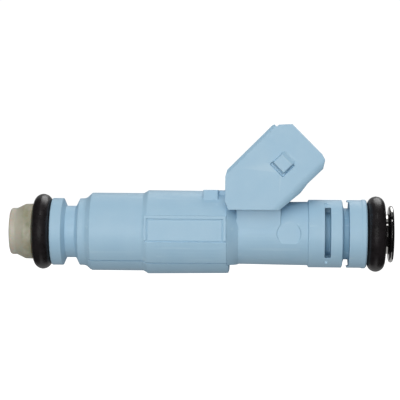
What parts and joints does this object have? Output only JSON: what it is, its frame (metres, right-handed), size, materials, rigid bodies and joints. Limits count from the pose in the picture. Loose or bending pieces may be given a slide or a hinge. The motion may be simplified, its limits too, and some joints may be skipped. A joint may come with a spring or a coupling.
{
  "type": "fuel injector",
  "caption": "Slim pale blue port fuel injector with black seal rings, a rolled steel inlet flange, a nylon tip cap and an angled electrical socket.",
  "frame": {"origin": "centre of the lower seal ring, on the injector's axis", "axes": "+X along the injector from the spray tip to the fuel inlet, +Z towards the side the electrical socket leans to"},
  "size_m": [0.074, 0.018, 0.0288],
  "materials": {
    "blue_nylon": "moulded satin",
    "natural_nylon": "natural nylon",
    "seal_rubber": "smooth black rubber",
    "polished_steel": "polished",
    "valve_steel": "turned",
    "ball_steel": "lapped",
    "magnet_steel": "turned soft iron",
    "spring_steel": "drawn wire",
    "bobbin_plastic": "moulded",
    "enamelled_copper": "enamelled wire",
    "tinned_brass": "tin plated",
    "filter_brass": "drawn",
    "filter_nylon": "natural nylon",
    "filter_gauze": "woven nylon gauze"
  },
  "bodies": {
    "injector": {"nozzle_carrier": "valve_steel", "nonmagnetic_ring": "valve_steel", "inlet_tube": "polished_steel", "valve_seat": "ball_steel", "orifice_plate": "valve_steel", "tip_cap": "natural_nylon", "lower_o_ring": "seal_rubber", "front_sleeve": "blue_nylon", "magnet_housing": "magnet_steel", "upper_washer": "magnet_steel", "coil_bobbin": "bobbin_plastic", "coil_winding": "enamelled_copper", "coil_leads": "enamelled_copper", "adjusting_sleeve": "valve_steel", "closing_spring": "spring_steel", "filter_collar": "filter_brass", "filter_frame": "filter_nylon", "filter_mesh": "filter_gauze", "upper_o_ring": "seal_rubber", "terminal_left": "tinned_brass", "terminal_right": "tinned_brass", "connector_body": "blue_nylon"},
    "valve_needle": {"armature": "magnet_steel", "needle_tube": "valve_steel", "valve_ball": "ball_steel"}
  },
  "joints": [
    {"name": "needle_lift", "type": "slide", "parent": "injector", "child": "valve_needle", "axis": [1, 0, 0], "range_m": [0, 0.00008], "stiffness_N_per_m": 3000, "springref_m": -0.0012, "deforming": ["closing_spring"]}
  ]
}
